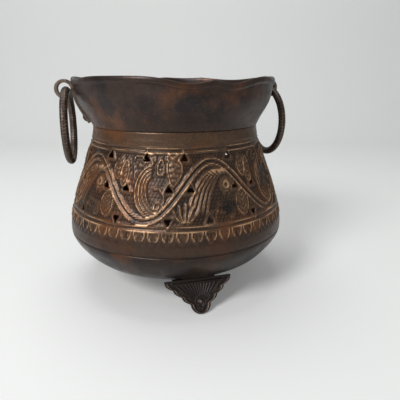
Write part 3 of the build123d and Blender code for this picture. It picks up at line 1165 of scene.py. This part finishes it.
@dataclass(frozen=True)
class Collar:
    """The flared collar, with a folded hem and a ruffled rim."""

    sizes: PotSizes
    steps: int = 360
    hem_depth: float = 4.5
    hem_rise: float = 0.75
    # Each dip of the rim: its angle round the pot, its half width and its depth.
    dips: tuple = (
        (-77.0, 10.0, 2.2), (-4.0, 9.5, 4.9), (17.0, 9.5, 4.9), (60.0, 8.0, 2.4),
        (125.0, 16.0, 3.2), (160.0, 12.0, 1.6), (200.0, 15.0, 3.4), (232.0, 12.0, 2.0),
    )

    def droop(self, angles: np.ndarray) -> np.ndarray:
        """Gives how far the rim sinks below its highest level.

        Args:
            angles: Angles round the pot.

        Returns:
            The depth of the rim's dips at each angle.
        """
        total = np.zeros(len(angles))
        for angle, width, depth in self.dips:
            away = np.mod(angles - angle + 180, 360) - 180
            total = np.maximum(total, depth * np.exp(-0.5 * (away / width) ** 2))
        return total

    def build(self, finish: bpy.types.Material) -> bpy.types.Object:
        """Builds the collar.

        Args:
            finish: Its material.

        Returns:
            The collar's object.
        """
        sizes = self.sizes
        flare = sizes.flare_profile(56)
        hem_low = sizes.rim_height - self.hem_depth
        outer = flare[flare[:, 1] < hem_low - 0.2]
        edge = flare[-1][0]
        hem = np.array([
            (edge - 0.25, hem_low - 0.15), (edge + self.hem_rise, hem_low + 0.35),
            (edge + self.hem_rise + 0.25, hem_low + 1.2), (edge + self.hem_rise + 0.2, hem_low + 2.6),
            (edge + self.hem_rise + 0.1, sizes.rim_height - 0.9),
            (edge + self.hem_rise - 0.3, sizes.rim_height - 0.2),
            (edge + 0.1, sizes.rim_height), (edge - 0.8, sizes.rim_height - 0.1),
            (edge - sizes.sheet + 0.1, sizes.rim_height - 0.8),
        ])
        inner = beside(flare, -sizes.sheet)[5:-3][::-1]
        lap_in, lap_out = sizes.neck_radius - 2 * sizes.sheet - 0.3, sizes.neck_radius - sizes.sheet - 0.4
        lap = np.array([
            (lap_in, sizes.neck_height), (lap_in, sizes.neck_height - sizes.lap),
            (lap_out, sizes.neck_height - sizes.lap), (lap_out, sizes.neck_height - 0.3),
        ])
        mesh = spin_profile(np.vstack([outer, hem, inner, lap]), self.steps)
        points = get_points(mesh)
        angles = round_angles(points)
        share = np.clip((points[:, 2] - sizes.neck_height) / (sizes.rim_height - sizes.neck_height), 0, 1)
        ease = share**2 * (3 - 2 * share)
        droop = self.droop(angles) * ease
        points[:, 2] -= droop
        radius = np.hypot(points[:, 0], points[:, 1])
        away = [abs(np.mod(angles - turn + 180, 360) - 180) for turn in sizes.handle_angles().values()]
        clear = np.clip((np.min(away, axis=0) - 5) / 6, 0, 1)
        dents = (outline_waves(points, 21.0, 2.3) - 1) * 0.45 * np.clip(share * 6, 0, 1) * clear
        points[:, :2] *= (1 + (dents - 0.16 * droop) / radius)[:, None]
        set_points(mesh, points)
        return finish_piece(mesh, "collar_ruffled", finish, "pot", ("collar",))


@dataclass(frozen=True)
class Handles:
    """The two curled straps and the hammered rings that hang in them."""

    sizes: PotSizes
    strap_width: float = 7.0
    strap_thickness: float = 2.8
    strap_bite: float = 0.15
    eye_hole: float = 10.2
    eye_turn: float = 285.0
    eye_place: float = 0.755
    ring_diameter: float = 64.0
    ring_bar: float = 6.4
    ring_sag: float = 1.0
    rivet_head: float = 6.0
    rivet_shank: float = 3.0
    rivet_rise: float = 1.6
    rivet_place: float = 0.17

    def _flare_at(self, place: float) -> tuple[np.ndarray, np.ndarray]:
        """Finds a place on the flare's profile.

        Args:
            place: Share of the way from the crease to the rim.

        Returns:
            The radius and height there, and the direction along the profile.
        """
        flare = self.sizes.flare_profile(201)
        index = min(199, max(1, round(place * 200)))
        along = flare[index + 1] - flare[index - 1]
        return flare[index], along / np.linalg.norm(along)

    def eye(self) -> tuple[float, float]:
        """Gives the radius and height of the middle of the strap's eye."""
        point, _ = self._flare_at(self.eye_place)
        return point[0] + self.strap_thickness + self.eye_hole / 2, point[1]

    def strap_line(self) -> np.ndarray:
        """Gives the middle line of the strap: up the flare, then curled round the eye.

        Returns:
            Radius and height of each point, evenly spaced.
        """
        eye_radius, eye_height = self.eye()
        curl = self.eye_hole / 2 + self.strap_thickness / 2
        lift = self.strap_thickness / 2 - self.strap_bite
        points = []
        for place in (0.05, 0.18, 0.36, 0.55):
            point, along = self._flare_at(place)
            points.append((point[0] + along[1] * lift, point[1] - along[0] * lift))
        turns = np.radians(180 - np.linspace(0, self.eye_turn, 40))
        circle = np.column_stack([eye_radius + curl * np.cos(turns), eye_height + curl * np.sin(turns)])
        return evenly(np.vstack([smooth_line(points + [tuple(circle[0])], 8)[:-1], circle]), 90)

    def build(self, finishes: Finishes) -> None:
        """Builds both handles: strap, rivet and ring on each side.

        Args:
            finishes: The finishes of all pieces.
        """
        for side, angle in self.sizes.handle_angles().items():
            self._strap(side, angle, finishes.strap)
            self._rivet(side, angle, finishes.rivet)
            self._ring(side, angle, finishes.bar)

    def _strap(self, side: str, angle: float, finish: bpy.types.Material) -> None:
        """Builds one strap as a bar of flat section that follows its middle line.

        Args:
            side: Name of the side, left or right.
            angle: The handle's angle round the pot.
            finish: Its material.
        """
        line = self.strap_line()
        face = beside(line, self.strap_thickness / 2 - 0.02)
        mesh = bmesh.new()
        columns = 6
        bmesh.ops.create_grid(mesh, x_segments=len(line) - 1, y_segments=columns, size=1)
        grid = get_points(mesh) * MM
        walk = np.clip(np.round((grid[:, 0] + 1) / 2 * (len(line) - 1)).astype(int), 0, len(line) - 1)
        side_way = grid[:, 1]
        worn = 1 - 0.1 * (walk / len(line)) ** 2
        outer = face[walk]
        places = np.column_stack([side_way * (self.strap_width / 2 - 0.1) * worn, -outer[:, 0], outer[:, 1]])
        set_points(mesh, places)
        bmesh.ops.recalc_face_normals(mesh, faces=mesh.faces)
        lowest = min(mesh.faces, key=lambda face: face.calc_center_median().z)
        if lowest.normal.y > 0:
            bmesh.ops.reverse_faces(mesh, faces=mesh.faces)
        bmesh.ops.transform(mesh, matrix=radial_frame(angle), verts=mesh.verts)
        relief = 0.5 + 0.35 * np.clip(outline_waves(places, 3.2, 0.7) + abs(side_way) ** 6, -1, 1)
        piece = finish_piece(mesh, f"strap_{side}", finish, "pot", (f"hanger_{side}",), relief)
        wall = piece.modifiers.new("thickness", "SOLIDIFY")
        wall.thickness = (self.strap_thickness - 0.04) * MM
        wall.offset = -1
        edge = piece.modifiers.new("edge", "BEVEL")
        edge.width = 0.55 * MM
        edge.segments = 2
        edge.limit_method = "ANGLE"

    def _rivet(self, side: str, angle: float, finish: bpy.types.Material) -> None:
        """Builds the domed rivet that holds one strap, with its shank and set head.

        Args:
            side: Name of the side, left or right.
            angle: The handle's angle round the pot.
            finish: Its material.
        """
        point, along = self._flare_at(self.rivet_place)
        out = self.strap_thickness - self.strap_bite + 0.08
        half = self.rivet_head / 2
        dome = [(half * math.cos(t), out + self.rivet_rise * math.sin(t)) for t in np.linspace(0, 1.5, 9)]
        inside = -self.sizes.sheet
        shank = self.rivet_shank / 2
        set_head = [(0.05, inside - 1.0), (half * 0.75, inside - 0.9), (half, inside - 0.1)]
        profile = np.array(set_head + [(shank, inside - 0.08), (shank, out), (half, out)] + dome[1:])
        mesh = spin_profile(profile, 28)
        # The rivet is spun upright, then laid square to the skin and turned to its handle.
        lay = Matrix((
            (1, 0, 0, 0),
            (0, -along[0], -along[1], -point[0] * MM),
            (0, along[1], -along[0], point[1] * MM),
            (0, 0, 0, 1),
        ))
        bmesh.ops.transform(mesh, matrix=radial_frame(angle) @ lay, verts=mesh.verts)
        bmesh.ops.recalc_face_normals(mesh, faces=mesh.faces)
        finish_piece(mesh, f"rivet_dome_{side}", finish, "pot", (f"strap_rivet_{side}",))

    def _ring(self, side: str, angle: float, finish: bpy.types.Material) -> None:
        """Builds one ring of round bar, dimpled all over by a small hammer.

        Args:
            side: Name of the side, left or right.
            angle: The handle's angle round the pot.
            finish: Its material.
        """
        eye_radius, eye_height = self.eye()
        radius = (self.ring_diameter - self.ring_bar) / 2
        middle = (eye_radius - self.ring_sag, eye_height - self.ring_sag - radius)
        mesh = bmesh.new()
        around = 28
        circle = bmesh.ops.create_circle(mesh, segments=around, radius=self.ring_bar / 2 * MM)
        place = Matrix.Translation((radius * MM, 0, 0)) @ Matrix.Rotation(math.pi / 2, 4, "X")
        bmesh.ops.transform(mesh, matrix=place, verts=circle["verts"])
        bmesh.ops.spin(mesh, geom=mesh.verts[:] + mesh.edges[:], cent=(0, 0, 0), axis=(0, 0, 1),
                       angle=math.tau, steps=300, use_merge=True)
        bmesh.ops.remove_doubles(mesh, verts=mesh.verts, dist=1e-7)
        bmesh.ops.recalc_face_normals(mesh, faces=mesh.faces)
        points = get_points(mesh)
        turn = np.arctan2(points[:, 1], points[:, 0])
        spoke = np.hypot(points[:, 0], points[:, 1]) - radius
        roll = np.arctan2(points[:, 2], spoke)
        rows, spots = 9, 84
        row = np.round(roll / math.tau * rows)
        cell = turn / math.tau * spots + 0.5 * np.mod(row, 2)
        off_row = (roll / math.tau * rows - row) * 2.2
        off_cell = (cell - np.round(cell) + 0.16 * np.sin(5 * np.round(cell) + 3 * row)) * 2.15
        dimple = bump(np.hypot(off_row, off_cell), 1.15)
        bar = self.ring_bar / 2 - 0.04 - 0.36 * dimple
        points[:, 0] = (radius + bar * np.cos(roll)) * np.cos(turn)
        points[:, 1] = (radius + bar * np.cos(roll)) * np.sin(turn)
        points[:, 2] = bar * np.sin(roll)
        set_points(mesh, points)
        hang = Matrix.Translation((0, -middle[0] * MM, middle[1] * MM)) @ Matrix.Rotation(math.pi / 2, 4, "X")
        bmesh.ops.transform(mesh, matrix=radial_frame(angle) @ hang, verts=mesh.verts)
        relief = 0.85 - 0.6 * dimple
        body = f"ring_{side}"
        finish_piece(mesh, f"ring_hammered_{side}", finish, body, (body,), relief)


@dataclass(frozen=True)
class Feet:
    """The three embossed leaf feet with their flanges under the bowl."""

    sizes: PotSizes
    angles: dict = field(default_factory=lambda: {"front": 0.0, "right": 120.0, "left": -120.0})
    foot_sheet: float = 2.0
    emboss_depth: float = 1.1
    width: float = 54.0
    fold_radius: float = 74.5
    fold_height: float = 25.5
    tip_radius: float = 88.5
    tip_round: float = 8.0
    lobes: int = 3
    lobe_bulge: float = 1.3
    edge_drop: float = 3.0
    flange_width: float = 36.0
    flange_end: float = 43.5
    leaf_rows: int = 96
    columns: int = 96

    @property
    def slant(self) -> float:
        """Length of the leaf from its tip to the fold."""
        return math.hypot(self.tip_radius - self.fold_radius, self.fold_height)

    def half_width(self, up: np.ndarray) -> np.ndarray:
        """Gives half the leaf's width.

        Args:
            up: Distances up the leaf from its tip.

        Returns:
            Half the width at each distance.
        """
        round_part = np.sqrt(np.clip(self.tip_round**2 - (self.tip_round - up) ** 2, 0, None))
        top = self.slant - self.edge_drop
        share = np.clip((up - self.tip_round) / (top - self.tip_round), 0, 1)
        straight = self.tip_round + share * (self.width / 2 - self.tip_round)
        scallop = self.lobe_bulge * 1.25 * abs(np.sin(math.pi * self.lobes * share))
        return np.where(up < self.tip_round, np.maximum(round_part, 0.15), straight + scallop)

    def relief(self, across: np.ndarray, up: np.ndarray) -> np.ndarray:
        """Works out the leaf's embossing: an edge bead, a fan of rays, a boss and dots.

        Args:
            across: Distance of each place from the leaf's middle line.
            up: Its distance up from the tip.

        Returns:
            The relief of each place, from 0 to about 1.
        """
        half = self.half_width(up)
        inset = (half - abs(across)) * 0.72
        raised = 0.95 * bump(abs(inset - 1.3), 1.1)
        raised = np.maximum(raised, 0.55 * bump(abs(inset - 4.2), 1.0))
        # Rays that spread from the boss to the fold, with a plain band above them.
        boss = 9.5
        spread = np.arctan2(across, np.maximum(up - boss + 4.5, 0.5))
        count = 9
        ray = bump(abs(np.mod(spread * count / 1.15 + 0.5, 1) - 0.5) * 2.3, 0.62)
        reach = np.hypot(across, up - boss)
        rays_here = (inset > 2.6) & (reach > 4.8) & (up > boss - 1) & (up < self.slant - 5.5)
        raised = np.maximum(raised, np.where(rays_here, 0.85 * ray, 0))
        raised = np.maximum(raised, 0.8 * bump(abs(up - self.slant + 4.6), 0.9) * (inset > 1.0))
        raised = np.maximum(raised, 0.95 * bump(reach, 3.2))
        raised = np.maximum(raised, 0.75 * bump(abs(reach - 4.3), 0.8))
        # Dots between the boss and the tip.
        pitch = 1.9
        row = np.floor(up / pitch)
        dot = np.hypot(np.mod(across / pitch + 0.5 * np.mod(row, 2), 1) - 0.5, np.mod(up / pitch, 1) - 0.5)
        dots_here = (up < boss - 4.6) & (inset > 1.8)
        raised = np.maximum(raised, np.where(dots_here, 0.7 * bump(dot, 0.45), 0))
        plain = np.clip((up - self.slant + 3.6) / 1.0, 0, 1)
        return np.maximum(raised, 0.75 * plain)

    def build(self, finishes: Finishes) -> None:
        """Builds the three feet and dresses their rivets.

        Args:
            finishes: The finishes of all pieces.
        """
        for side, angle in self.angles.items():
            self._foot(side, angle, finishes.leaf)
            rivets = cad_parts[f"foot_rivets_{side}"]
            rivets.data.materials.clear()
            rivets.data.materials.append(finishes.rivet)

    def _path(self) -> tuple[np.ndarray, np.ndarray]:
        """Gives the foot's outer face from its tip to the end of its flange.

        Returns:
            Radius and height of each point, and the distance walked to it.
        """
        tip = np.array([self.tip_radius - 0.5, 0.95])
        fold = np.array([self.fold_radius, self.fold_height - 0.25])
        leaf = tip + np.linspace(0, 1, self.leaf_rows)[:, None] * (fold - tip)
        under = beside(self.sizes.bowl_profile(120), self.foot_sheet + 0.05)
        under = under[(under[:, 0] < self.fold_radius - 1.5)][::-1]
        under = np.vstack([under, [(self.flange_end, self.sizes.foot_height - self.foot_sheet - 0.05)]])
        flange = evenly(under, 26)
        line = np.vstack([leaf, flange])
        walked = np.concatenate([[0], np.cumsum(np.linalg.norm(np.diff(line, axis=0), axis=1))])
        return line, walked

    def _foot(self, side: str, angle: float, finish: bpy.types.Material) -> None:
        """Builds one foot as a sheet that runs up the leaf, over the fold and under the bowl.

        Args:
            side: Name of the foot's side.
            angle: The foot's angle round the pot.
            finish: Its material.
        """
        line, walked = self._path()
        mesh = bmesh.new()
        bmesh.ops.create_grid(mesh, x_segments=self.columns, y_segments=len(line) - 1, size=1)
        grid = get_points(mesh) * MM
        row = np.clip(np.round((grid[:, 1] + 1) / 2 * (len(line) - 1)).astype(int), 0, len(line) - 1)
        up = walked[row]
        on_leaf = row < self.leaf_rows
        half = np.where(on_leaf, self.half_width(np.minimum(up, self.slant)), self.flange_width / 2)
        across = grid[:, 0] * half
        height = np.where(on_leaf, self.relief(across, up), 0.6)
        sink = np.where(on_leaf, self.emboss_depth * (height - 1) * np.clip((self.slant - up) / 2, 0, 1), 0)
        lean = np.array([self.fold_height, self.tip_radius - self.fold_radius]) / self.slant
        place = line[row] + sink[:, None] * lean * on_leaf[:, None]
        places = np.column_stack([across, -place[:, 0], np.maximum(place[:, 1], 0.05)])
        set_points(mesh, places)
        bmesh.ops.recalc_face_normals(mesh, faces=mesh.faces)
        lowest = min(mesh.faces, key=lambda face: face.calc_center_median().z)
        if lowest.normal.y > 0:
            bmesh.ops.reverse_faces(mesh, faces=mesh.faces)
        bmesh.ops.transform(mesh, matrix=radial_frame(angle), verts=mesh.verts)
        shade = np.where(on_leaf, 0.1 + 0.85 * height, 0.5)
        # Painted shade: the top strip of the leaf and the whole flange, under the bowl, are set dark.
        shade = np.where(up > self.slant - 3.2, 0.3, shade)
        node = f"foot_{side}"
        piece = finish_piece(mesh, f"foot_leaf_{side}", finish, "pot", (node,), shade)
        wall = piece.modifiers.new("wall", "SOLIDIFY")
        wall.thickness = (self.foot_sheet - self.emboss_depth) * MM
        wall.offset = -1


# ---------------------------------------------------------------- studio
@dataclass(frozen=True)
class Studio:
    """A pale floor that sweeps up to a pale wall, soft lamps and the camera."""

    floor_colour: str = "e6e7e6"
    floor_glow: float = 0.12  # how much of the floor's paleness doesn't hang on the lamps
    wall_distance: float = 0.75
    camera_place: tuple[float, float, float] = (-0.07460, -0.34947, 0.1761)
    camera_turn: float = 15.5  # heading from +Y towards +X
    camera_pitch: float = 16.92  # below level
    lens: float = 36.09
    sky: float = 0.29

    def build(self) -> None:
        """Builds the floor, the lamps, the sky and the camera."""
        self._sweep()
        self._lamps()
        self._world()
        self._camera()

    def _sweep(self) -> None:
        """Makes the floor and wall as one sheet with a round bend."""
        bend = 0.35
        turns = np.linspace(0, math.pi / 2, 16)
        line = [(-2.5, 0.0), (self.wall_distance, 0.0)]
        line += [(self.wall_distance + bend * math.sin(t), bend - bend * math.cos(t)) for t in turns[1:]]
        line += [(self.wall_distance + bend, 2.5)]
        mesh = bmesh.new()
        verts = [mesh.verts.new((-3.0, y, z)) for y, z in line]
        edges = [mesh.edges.new(pair) for pair in zip(verts, verts[1:])]
        made = bmesh.ops.extrude_edge_only(mesh, edges=edges)
        moved = [item for item in made["geom"] if isinstance(item, bmesh.types.BMVert)]
        bmesh.ops.translate(mesh, verts=moved, vec=(6.0, 0, 0))
        square_on = Matrix.Rotation(-math.radians(self.camera_turn), 4, "Z")
        bmesh.ops.transform(mesh, matrix=square_on, verts=mesh.verts)
        data = bpy.data.meshes.new("floor")
        mesh.to_mesh(data)
        mesh.free()
        data.polygons.foreach_set("use_smooth", [True] * len(data.polygons))
        floor = bpy.data.objects.new("floor", data)
        bpy.context.scene.collection.objects.link(floor)
        data.materials.append(self._floor_material())

    def _floor_material(self) -> bpy.types.Material:
        """Makes matt paper that is a little lighter to the camera than its lamps make it."""
        material = bpy.data.materials.new("matt_paper")
        material.use_nodes = True
        tree = material.node_tree
        tree.nodes.clear()
        seen = add_node(tree, "ShaderNodeLightPath").outputs["Is Camera Ray"]
        matt = add_node(tree, "ShaderNodeBsdfDiffuse", {"Color": linear(self.floor_colour)})
        glow = add_node(tree, "ShaderNodeMath", {0: seen, 1: self.floor_glow}, operation="MULTIPLY")
        light = add_node(tree, "ShaderNodeEmission", {"Color": linear("ffffff"), "Strength": glow.outputs[0]})
        both = add_node(tree, "ShaderNodeAddShader", {0: matt.outputs[0], 1: light.outputs[0]})
        add_node(tree, "ShaderNodeOutputMaterial", {"Surface": both.outputs[0]})
        return material

    def _lamps(self) -> None:
        """Hangs a large soft lamp high at the left and a weaker one at the right."""
        for name, place, size, power in (
            ("key_lamp", (-0.85, -0.7, 0.9), 0.5, 12.0),
            ("fill_lamp", (0.9, -0.7, 0.6), 0.9, 0.7),
            ("top_lamp", (-0.1, 0.25, 1.3), 0.8, 4.6),
        ):
            lamp = bpy.data.lights.new(name, "AREA")
            lamp.shape = "DISK"
            lamp.size = size
            lamp.energy = power
            holder = bpy.data.objects.new(name, lamp)
            bpy.context.scene.collection.objects.link(holder)
            holder.location = place
            holder.visible_camera = False
            aim = Vector((0, 0, 0.09)) - Vector(place)
            holder.rotation_euler = aim.to_track_quat("-Z", "Y").to_euler()

    def _world(self) -> None:
        """Fills the sky with plain pale light."""
        world = bpy.data.worlds.new("pale_sky")
        bpy.context.scene.world = world
        world.use_nodes = True
        tree = world.node_tree
        tree.nodes.clear()
        sky = add_node(tree, "ShaderNodeBackground", {"Color": linear("f2f4f4"), "Strength": self.sky})
        add_node(tree, "ShaderNodeOutputWorld", {"Surface": sky.outputs[0]})

    def _camera(self) -> None:
        """Stands the camera a little left of the front, looking down at the pot."""
        data = bpy.data.cameras.new("camera")
        data.sensor_width = 36.0
        data.lens = self.lens
        camera = bpy.data.objects.new("camera", data)
        bpy.context.scene.collection.objects.link(camera)
        camera.location = self.camera_place
        tilt = math.radians(90 - self.camera_pitch)
        camera.rotation_euler = (tilt, 0, -math.radians(self.camera_turn))
        bpy.context.scene.camera = camera
        bpy.context.scene.view_settings.view_transform = "Standard"


def main() -> None:
    """Builds every sub-assembly in order, then the studio."""
    logging.basicConfig(level=logging.INFO, format="%(name)s %(message)s")
    sizes = PotSizes()
    finishes = Finishes.make_all()
    Bowl(sizes).build(finishes.bowl)
    Band(sizes).build(finishes.band)
    Collar(sizes).build(finishes.collar)
    Handles(sizes).build(finishes)
    Feet(sizes).build(finishes)
    Studio().build()


if __name__ == "__main__":
    main()
